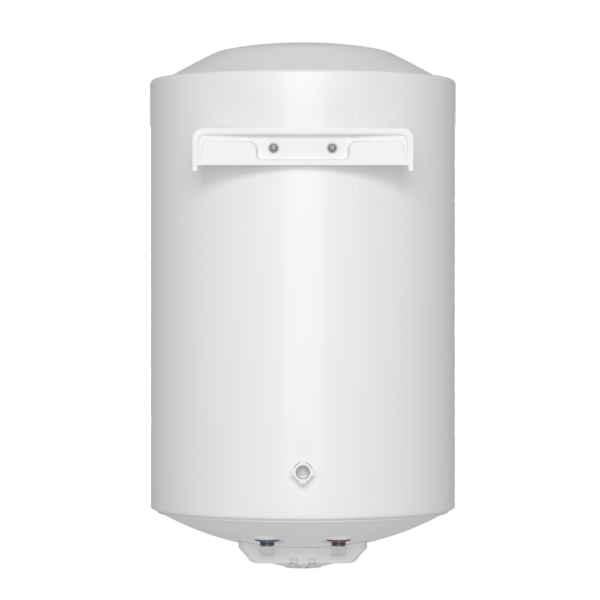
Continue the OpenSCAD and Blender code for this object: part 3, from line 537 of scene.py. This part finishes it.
def knob():
    """A domed disc turned about its shaft. Its edge is fluted by 24 shallow scallops, and a pointer
    groove is pressed into the face at the front."""
    radius = (knob_hi[0] - knob_lo[0]) / 2
    r = np.linspace(0, radius - 1.6, 30)
    face = knob_lo[2] + r**2 / CROWN_FALL
    side = rounded([(radius - 1.6, face[-1], 0), (radius, face[-1], 1.2), (radius, knob_hi[2], 0.4),
        (0, knob_hi[2], 0)])
    profile = np.concatenate([np.stack([r, face], -1), side[1:]])
    points = turned(profile, 288, (0, COVER_Y))
    a = np.arctan2(points[..., 1] - COVER_Y, points[..., 0])
    away = np.hypot(points[..., 0], points[..., 1] - COVER_Y)
    flute = 0.35 * (0.5 - 0.5 * np.cos(FLUTES * a)) * smooth((away - radius + 0.6) / 0.5)
    pull = 1 - flute / np.maximum(away, 1)
    points[..., 0] *= pull
    points[..., 1] = COVER_Y + (points[..., 1] - COVER_Y) * pull
    groove = smooth((1.6 - np.abs(points[..., 0])) / 0.9) * smooth((away - radius + 12) / 1.5)
    groove *= (points[..., 1] < COVER_Y) & (points[..., 2] < knob_lo[2] + 3)
    points[..., 2] += 1.1 * groove
    return surface("temperature_knob_cap", points, around=True)


def bezel():
    """A rounded chrome ring turned about the thermometer's axis. Its back edge follows the jacket."""
    outer = (bezel_hi[0] - bezel_lo[0]) / 2
    front = bezel_lo[1]
    section = rounded([(26.1, front + 3, 0), (24, front + 1.8, 0.3), (24, front, 0.8), (outer, front, 1.6),
        (outer, front + 9, 0), (26.1, front + 9, 0)])
    points = turned(section, 192, (0, GAUGE_Z), "y")
    curve = -np.sqrt(JACKET_R**2 - points[..., 0] ** 2) - 0.25
    points[..., 1] = np.where(points[..., 1] > front + 5, curve, points[..., 1])
    return surface("thermometer_bezel_ring", points, around=True, along=True)


DIAL_FACE = extent("thermometer_dial")[0][1]


def dial_marks():
    """Printed marks: 25 slim bars over 240 degrees, every fourth longer, on the dial's face."""
    k = np.arange(25)
    a = np.radians(-120 + 10 * k)[:, None, None]
    inner = np.where(k % 4 == 0, 16.5, 19)[:, None, None]
    wide = np.where(k % 4 == 0, 0.5, 0.28)[:, None, None]
    u = np.array([0, 1, 1, 0])[None, :, None]
    v = np.array([-1, 1])[None, None, :]
    reach = inner + (22 - inner) * u
    x = reach * np.sin(a) + v * wide * np.cos(a)
    z = GAUGE_Z + reach * np.cos(a) - v * wide * np.sin(a)
    y = DIAL_FACE - 0.06 * np.array([1, 1, 0, 0])[None, :, None] + 0 * x
    points = np.stack([x, y, z], -1)
    bars = [surface("bar", points[i], around=True) for i in range(len(k))]
    return join("thermometer_marks", bars)


# ---------------------------------------------------------------- control cover
cover_lo, cover_hi = extent("control_cover")
COVER_LOW = extent("cable_entry_block")[0][2]  # the tongue ends level with the flat bottom
REAR_Y = cover_hi[1]
CROWN_LOW = cover_lo[2]
COVER_HALF = 91
REAR_CORNER, FRONT_CORNER = 12, 34
WALL_HALF = COVER_HALF - REAR_CORNER
STEADY = 36  # the rear wall's middle stretch, which keeps its width on the way down
BLEND_Z = DISH_TIP + 7.65  # where the upright walls end and the chamfer starts
CROWN_RIM = 64
CROWN_ROWS, BOTTOM_ROWS = 30, 6


def rear_relief(x, z):
    """How far the rear wall is pressed in: two round scoops under the nipples that end in a rounded
    bottom, a shallow channel on each side of the cable block, and two pockets beside its tongue."""
    side = np.abs(x)
    up = z - DISH_TIP
    bowl = np.sqrt(np.maximum(1 - ((side - PIPE[0]) / 10.5) ** 2, 0))
    scoop = 5 * bowl * smooth((up + 4.2) / 4)
    channel = 0.7 * band(side, 23, 33, 1.2) * smooth((up + 4) / 1.5)
    pocket = 6 * band(side, 7, 16.6, 0.8) * (1 - smooth((up + 6.2) / 0.8))
    return scoop + channel + pocket


def cover_walls():
    """Upright sections of a box with tight rear corners and wide front corners, each a row of points
    from the rear wall round by the side and the front. The upright part meets the dish. Below it the
    half width falls from 91 to 67 mm, and the rear and the front draw in."""
    drop = np.concatenate([np.linspace(0, 1, 14), np.linspace(1.04, 2, 22), np.linspace(2.06, 3, 12)])
    stops = [1, 1.28, 1.6, 2, 2.5, 2.8, 3]
    hx = np.interp(drop, stops, [COVER_HALF, 86.2, 81.2, 77, 74.2, 70.5, 67])
    heights = [BLEND_Z] + [DISH_TIP + up for up in (2.75, -2.85, -8.55, -11.35, -13.2)] + [COVER_LOW]
    z = np.interp(drop, stops, heights)
    front_y = cover_lo[1]
    rear = np.interp(drop, [0, 1, 2, 3], [REAR_Y, REAR_Y, REAR_Y - 2.5, REAR_Y - 6])
    front = np.interp(drop, [0, 1, 2, 3], [front_y, front_y, front_y + 7, front_y + 14])
    cr = np.interp(drop, [0, 1, 3], [REAR_CORNER, REAR_CORNER, 9])
    cf = np.interp(drop, [0, 1, 3], [FRONT_CORNER, FRONT_CORNER, 28])
    wall = np.unique(np.concatenate([np.linspace(0, 38, 30), np.linspace(38, 62, 26),
        np.linspace(62, WALL_HALF, 9), [6.9, 7.4, 7.9, 16.5, 17.1, 17.6]]))
    wall = np.concatenate([-wall[:0:-1], wall])[None, :]
    flat = (hx - cr)[:, None]
    beyond = np.maximum(np.abs(wall) - STEADY, 0) * (flat - STEADY) / (WALL_HALF - STEADY)
    x_rear = np.sign(wall) * (np.minimum(np.abs(wall), STEADY) + beyond)
    arc = np.radians(np.linspace(90, 0, 12))[None, 1:]
    x_rc = flat + cr[:, None] * np.cos(arc)
    y_rc = (rear - cr)[:, None] + cr[:, None] * np.sin(arc)
    t = np.linspace(0, 1, 10)[None, 1:]
    y_side = (rear - cr)[:, None] * (1 - t) + (front + cf)[:, None] * t
    arc = np.radians(np.linspace(0, -90, 16))[None, 1:]
    x_fc = (hx - cf)[:, None] + cf[:, None] * np.cos(arc)
    y_fc = (front + cf)[:, None] + cf[:, None] * np.sin(arc)
    t = np.linspace(0, 1, 6)[None, 1:]
    x_half = np.concatenate([x_rc, hx[:, None] + 0 * y_side, x_fc, (hx - cf)[:, None] * (1 - t)], 1)
    y_half = np.concatenate([y_rc, y_side, y_fc, front[:, None] + 0 * t], 1)
    x = np.concatenate([x_rear, x_half, -x_half[:, -2::-1]], 1)
    y = np.concatenate([rear[:, None] + 0 * x_rear, y_half, y_half[:, -2::-1]], 1)
    rise = (1 - np.minimum(drop, 1))[:, None]
    meets_dish = BLEND_Z * (1 - rise) + (dish(np.hypot(x, y)) - 0.3) * rise
    zz = np.where((drop <= 1)[:, None], meets_dish, z[:, None])
    on_wall = np.arange(x.shape[1]) < x_rear.shape[1]
    y = y - np.where(on_wall, rear_relief(x, zz), 0)
    return np.stack([x, y, zz], -1)


def cover():
    """The cover's walls, then a flat bottom that blends into a circle. From that hangs a crown,
    r^2 / 392 + 4 (r / 64)^6 deep, and a round well holds the knob."""
    walls = cover_walls()
    last = walls[-1][None]
    angle = np.arctan2(last[..., 1] - COVER_Y, last[..., 0])
    circle = np.stack([CROWN_RIM * np.cos(angle), COVER_Y + CROWN_RIM * np.sin(angle),
        COVER_LOW + 0 * angle], -1)
    t = np.linspace(0, 1, BOTTOM_ROWS + 1)[1:, None, None]
    bottom = last * (1 - t) + circle * t
    ball = np.linspace(CROWN_RIM, 30.2, CROWN_ROWS)
    hang = CROWN_LOW + ball**2 / CROWN_FALL + 4 * (ball / CROWN_RIM) ** 6
    well = knob_hi[2] + 5
    r = np.concatenate([ball, [29.9, 29.6, 29.6, 29.6, 20, 4.5]])[:, None]
    h = np.concatenate([hang, [CROWN_LOW + 2.5, CROWN_LOW + 2.9, CROWN_LOW + 6, well, well, well]])[:, None]
    crown = np.stack([r * np.cos(angle), COVER_Y + r * np.sin(angle), h + 0 * angle], -1)
    points = np.concatenate([walls, bottom, crown], 0).transpose(1, 0, 2)
    facing = points - np.array([0, COVER_Y, DISH_TIP + 20])
    facing[:, len(walls) + BOTTOM_ROWS + CROWN_ROWS :] = 0
    return surface("control_cover_shell", points, around=True, facing=facing, sharp=32)


def cover_screws():
    """Four small pan heads on the cover's flat bottom."""
    lo, hi = extent("cover_screws")
    across, along = hi[0] - COVER_SCREW_R, (hi[1] - lo[1]) / 2 - COVER_SCREW_R
    heads = [pan_head("head", (sx * across, COVER_Y + sy * along), COVER_LOW, 2.0, COVER_SCREW_R, "z", -1,
        0.5) for sx in (1, -1) for sy in (1, -1)]
    return join("cover_screw_heads", heads)


# ---------------------------------------------------------------- materials
def linear(code):
    """The linear colour of an sRGB hex code."""
    rgb = [int(code[i : i + 2], 16) / 255 for i in (0, 2, 4)]
    return [c / 12.92 if c <= 0.04045 else ((c + 0.055) / 1.055) ** 2.4 for c in rgb] + [1]


def add(tree, kind, settings=None, **links):
    """Adds a node, sets its values and links its inputs."""
    made = tree.nodes.new(kind)
    for key, value in (settings or {}).items():
        if key in made.inputs:
            made.inputs[key].default_value = value
        else:
            setattr(made, key, value)
    for key, source in links.items():
        tree.links.new(source, made.inputs[key.replace("_", " ")])
    return made


def finish_of(name, colour, rough, metallic=0.0, grain=1.5, bump=0.02, mottle=0.03, coat=0.0,
        stretch=(1, 1, 1), clear=0.0):
    """A procedural finish. Fine noise of grain millimetres lifts the surface, and broad noise shifts
    the roughness and the colour a little."""
    m = bpy.data.materials.new(name)
    m.use_nodes = True
    tree = m.node_tree
    tree.nodes.clear()
    place = add(tree, "ShaderNodeTexCoord").outputs["Object"]
    place = add(tree, "ShaderNodeMapping", {"Scale": stretch}, Vector=place).outputs["Vector"]
    fine = add(tree, "ShaderNodeTexNoise", {"Scale": 1000 / grain, "Detail": 2.0}, Vector=place)
    broad = add(tree, "ShaderNodeTexNoise", {"Scale": 14.0, "Detail": 3.0}, Vector=place)
    lift = add(tree, "ShaderNodeBump", {"Strength": bump, "Distance": 0.0004}, Height=fine.outputs["Fac"])
    gloss = add(tree, "ShaderNodeMapRange", {"To Min": max(rough - mottle * 2, 0.02),
        "To Max": rough + mottle * 2}, Value=broad.outputs["Fac"])
    tint = add(tree, "ShaderNodeValToRGB", Fac=broad.outputs["Fac"])
    base = linear(colour)
    tint.color_ramp.elements[0].color = [c * (1 - mottle) for c in base[:3]] + [1]
    tint.color_ramp.elements[1].color = [min(c * (1 + mottle), 0.94) for c in base[:3]] + [1]
    shader = add(tree, "ShaderNodeBsdfPrincipled", {"Metallic": metallic, "Coat Weight": coat,
        "Transmission Weight": clear}, Base_Color=tint.outputs["Color"],
        Roughness=gloss.outputs["Result"], Normal=lift.outputs["Normal"])
    add(tree, "ShaderNodeOutputMaterial", Surface=shader.outputs["BSDF"])
    return m


FINISHES = {
    # baked white coat: soft highlight with a faint orange peel
    "jacket_paint": finish_of("baked_white_enamel_paint", "F4F4F5", 0.36, grain=2.2, bump=0.05,
        mottle=0.01, coat=0.15),
    # powder coat: a wider, duller highlight than the jacket's
    "cap_paint": finish_of("white_powder_coat", "EFEFF0", 0.42, grain=1.4, bump=0.06, mottle=0.012),
    # sprayed bracket: nearly matt white
    "bracket_paint": finish_of("white_bracket_paint", "F2F2F3", 0.45, grain=1.2, bump=0.05, mottle=0.012),
    # blown foam: open, dull and grainy
    "foam": finish_of("polyurethane_foam", "E4D49A", 0.9, grain=0.9, bump=0.6, mottle=0.08),
    # fused glass coat: deep blue under a hard shine
    "tank_enamel": finish_of("blue_glass_enamel", "22375E", 0.2, grain=3, bump=0.08, mottle=0.05, coat=0.5),
    # plated steel: pale spangle and a soft metal shine
    "flange_zinc": finish_of("zinc_plated_plate", "B4B6BA", 0.38, 1.0, grain=1.1, bump=0.08, mottle=0.06),
    # plated screws: greyer than the flange, with a broken shine
    "screw_zinc": finish_of("zinc_plated_screws", "9C9EA1", 0.45, 1.0, grain=0.7, bump=0.06, mottle=0.05),
    # moulded rubber: black with almost no highlight
    "gasket_rubber": finish_of("black_rubber", "1B1B1C", 0.75, grain=0.5, bump=0.2, mottle=0.05),
    # drawn stainless tube: clean, fairly sharp metal shine
    "element_steel": finish_of("stainless_tube", "97999C", 0.3, 1.0, grain=0.6, bump=0.05, mottle=0.04),
    # nickel: a warm grey shine
    "terminal_nickel": finish_of("nickel_plate", "B5B1A6", 0.3, 1.0, grain=0.5, bump=0.04, mottle=0.04),
    # cast rod: dull grey, lightly pitted
    "anode_magnesium": finish_of("cast_magnesium", "9A9C9F", 0.6, 1.0, grain=1.6, bump=0.3, mottle=0.07),
    # drawn copper: warm red metal, slightly dulled
    "bulb_copper": finish_of("drawn_copper", "B87350", 0.34, 1.0, grain=0.6, bump=0.05, mottle=0.06),
    # ivory moulding: yellowed white, soft shine
    "control_plastic": finish_of("ivory_control_plastic", "E3DFD0", 0.5, grain=0.7, bump=0.06, mottle=0.02),
    # phenolic: near black, soft shine
    "cutout_plastic": finish_of("black_phenolic", "1E1E1F", 0.5, grain=0.7, bump=0.08, mottle=0.03),
    # acetal: waxy white
    "shaft_plastic": finish_of("white_acetal", "E6E6E2", 0.4, grain=0.8, bump=0.03, mottle=0.02),
    # moulded button: glossy red
    "button_plastic": finish_of("red_button_plastic", "A3211C", 0.3, grain=0.8, bump=0.03, mottle=0.03),
    # turned brass: yellow, bright metal
    "terminal_brass": finish_of("turned_brass", "C3A14F", 0.28, 1.0, grain=0.5, bump=0.05, mottle=0.05),
    # wire insulation: brown, satin
    "wire_plastic": finish_of("pvc_insulation", "7A4B2C", 0.5, grain=0.8, bump=0.05, mottle=0.04),
    # threaded pipe end: darker bare steel with fine turning marks along its length
    "nipple_steel": finish_of("turned_pipe_steel", "8F9092", 0.33, 1.0, grain=1.2, bump=0.08,
        mottle=0.06, stretch=(1, 1, 5)),
    # moulded rings: muted blue for cold and muted red for hot, satin
    "blue_plastic": finish_of("muted_blue_plastic", "4C6886", 0.4, grain=0.9, bump=0.04, mottle=0.03),
    "red_plastic": finish_of("muted_red_plastic", "8E555F", 0.4, grain=0.9, bump=0.04, mottle=0.03),
    # moulded cover: fine matt grain
    "cover_plastic": finish_of("white_moulded_abs", "EBEBEC", 0.46, grain=0.8, bump=0.08, mottle=0.012),
    # smooth knob: glossier than the cover
    "knob_plastic": finish_of("white_knob_abs", "ECECEC", 0.32, grain=0.9, bump=0.03, mottle=0.012),
    # lamp lens: clear red with a sharp glint
    "lamp_red": finish_of("red_lamp_lens", "D8432A", 0.1, grain=1.0, bump=0.02, mottle=0.02, clear=0.6),
    # nylon: white with a soft sheen
    "spacer_plastic": finish_of("white_nylon", "F3F3F3", 0.42, grain=0.8, bump=0.04, mottle=0.01),
    # thermometer housing: black, fine matt grain
    "housing_plastic": finish_of("black_housing_plastic", "252527", 0.5, grain=0.8, bump=0.06, mottle=0.03),
    # printed dial: flat off-white
    "dial_paint": finish_of("printed_dial_white", "F1F1EE", 0.5, grain=0.6, bump=0.02, mottle=0.01),
    # painted pointer and marks: flat black
    "pointer_paint": finish_of("black_pointer_paint", "18181A", 0.4, grain=0.5, bump=0.03, mottle=0.03),
    # clear acrylic: almost unseen but for its reflections
    "lens_clear": finish_of("clear_acrylic", "F4F8F8", 0.03, grain=4.0, bump=0.004, mottle=0.002, clear=0.97),
    # bright trim: near mirror, with the least haze
    "bezel_chrome": finish_of("bright_chrome", "CFD0D3", 0.08, 1.0, grain=2.0, bump=0.01, mottle=0.01),
}

# ---------------------------------------------------------------- the pieces
skin = show(jacket(), "heater", "jacket_paint", "outer_jacket")
sheet_metal(skin, 0.8)
show(top_cap(), "heater", "cap_paint", "top_cap")
base = show(bottom_cap(), "heater", "cap_paint", "bottom_cap")
sheet_metal(base, CAP_SHEET)
plate = show(bracket(), "heater", "bracket_paint", "hanging_bracket")
sheet_metal(plate, 2.0)
show(bracket_screws(), "heater", "screw_zinc", "bracket_screws")
show(washers(), "heater", "screw_zinc", "bracket_washers")
show(spacer(), "spacer", "spacer_plastic", "spacer_knob")
show(socket(), "heater", "spacer_plastic", "spacer_socket")
show(core(), "spacer_carrier", "spacer_plastic", "spacer_core")
show(nipple("cold_nipple_thread", "cold_inlet_nipple", "cold_inlet_ring"), "heater", "nipple_steel",
    "cold_inlet_nipple")
show(nipple("hot_nipple_thread", "hot_outlet_nipple", "hot_outlet_ring"), "heater", "nipple_steel",
    "hot_outlet_nipple")
show(ring("cold_blue_ring", "cold_inlet_ring"), "heater", "blue_plastic", "cold_inlet_ring")
show(ring("hot_red_ring", "hot_outlet_ring"), "heater", "red_plastic", "hot_outlet_ring")
shell = show(cover(), "heater", "cover_plastic", "control_cover")
sheet_metal(shell, 2.0)
show(cover_screws(), "heater", "screw_zinc", "cover_screws")
show(knob(), "knob", "knob_plastic", "temperature_knob")
show(bezel(), "heater", "bezel_chrome", "thermometer_bezel")
show(dial_marks(), "heater", "pointer_paint")

slots = {s["node"]: s["material_slot"] for s in frame["record"]["subparts"]}
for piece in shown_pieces():
    own = piece.get("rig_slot") or slots[piece.name]
    piece.data.materials.clear()
    piece.data.materials.append(FINISHES[own])

# ---------------------------------------------------------------- light, camera, backdrop
scene = bpy.context.scene
scene.view_settings.view_transform = "Standard"

world = bpy.data.worlds.new("studio")
scene.world = world
world.use_nodes = True
sky = world.node_tree
sky.nodes.clear()
path = add(sky, "ShaderNodeLightPath")
ambient = add(sky, "ShaderNodeBackground", {"Color": (1, 1, 1, 1), "Strength": 0.408})
white = add(sky, "ShaderNodeBackground", {"Color": (1, 1, 1, 1), "Strength": 1.0})
mixed = add(sky, "ShaderNodeMixShader", None, Fac=path.outputs["Is Camera Ray"])
sky.links.new(ambient.outputs[0], mixed.inputs[1])
sky.links.new(white.outputs[0], mixed.inputs[2])
add(sky, "ShaderNodeOutputWorld", Surface=mixed.outputs[0])


def softbox(name, place, aim, wide, tall, power):
    """A rectangular soft light that faces a point."""
    lamp = bpy.data.lights.new(name, "AREA")
    lamp.shape = "RECTANGLE"
    lamp.size, lamp.size_y, lamp.energy = wide, tall, power
    holder = bpy.data.objects.new(name, lamp)
    scene.collection.objects.link(holder)
    holder.location = place
    way = Vector(aim) - Vector(place)
    holder.rotation_euler = way.to_track_quat("-Z", "Y").to_euler()


middle = AXIS
# each box: its place and what it faces in metres, then its width, height and power
softbox("level_box", middle + [0, 4.6, 0.3], middle, 2.4, 1.6, 35.6)
softbox("raised_box", middle + [0, 4.2, 2.0], middle, 2.4, 1.4, 70.9)
softbox("top_box", middle + [0, 2.2, 3.8], middle, 2.4, 1.6, 4.1)
softbox("low_box", middle + [0, 1.4, -3.4], middle, 2.4, 1.4, 18)
softbox("room_box", middle + [0, -4.4, -0.1], middle, 2.4, 1.2, 70)


FLOOR_HALF = 5000
FLOOR_DROP = 4500


def floor():
    """A wide level sheet far under the heater that sends soft light up at it."""
    u = np.linspace(-FLOOR_HALF, FLOOR_HALF, 9)
    x, y = np.meshgrid(u, u, indexing="ij")
    z = np.full_like(x, DISH_LOW - FLOOR_DROP)
    points = np.stack([x, y, z], -1)
    return surface("studio_floor", points, facing=np.broadcast_to(np.array([0.0, 0.0, 1.0]), points.shape))


ground = floor()
ground.data.materials.append(finish_of("pale_studio_floor", "EDEDED", 0.8, grain=5, bump=0.02, mottle=0.01))

# a long lens four metres behind the heater, level with its middle
camera = bpy.data.cameras.new("camera")
camera.lens, camera.sensor_width = 173.9, 36
camera.shift_x, camera.shift_y = -0.0048, -0.0092
camera.clip_end = 60
eye = bpy.data.objects.new("camera", camera)
scene.collection.objects.link(eye)
eye.location = middle + [0, 4.18, 0]
eye.rotation_euler = (math.radians(90), 0, math.radians(180))
scene.camera = eye
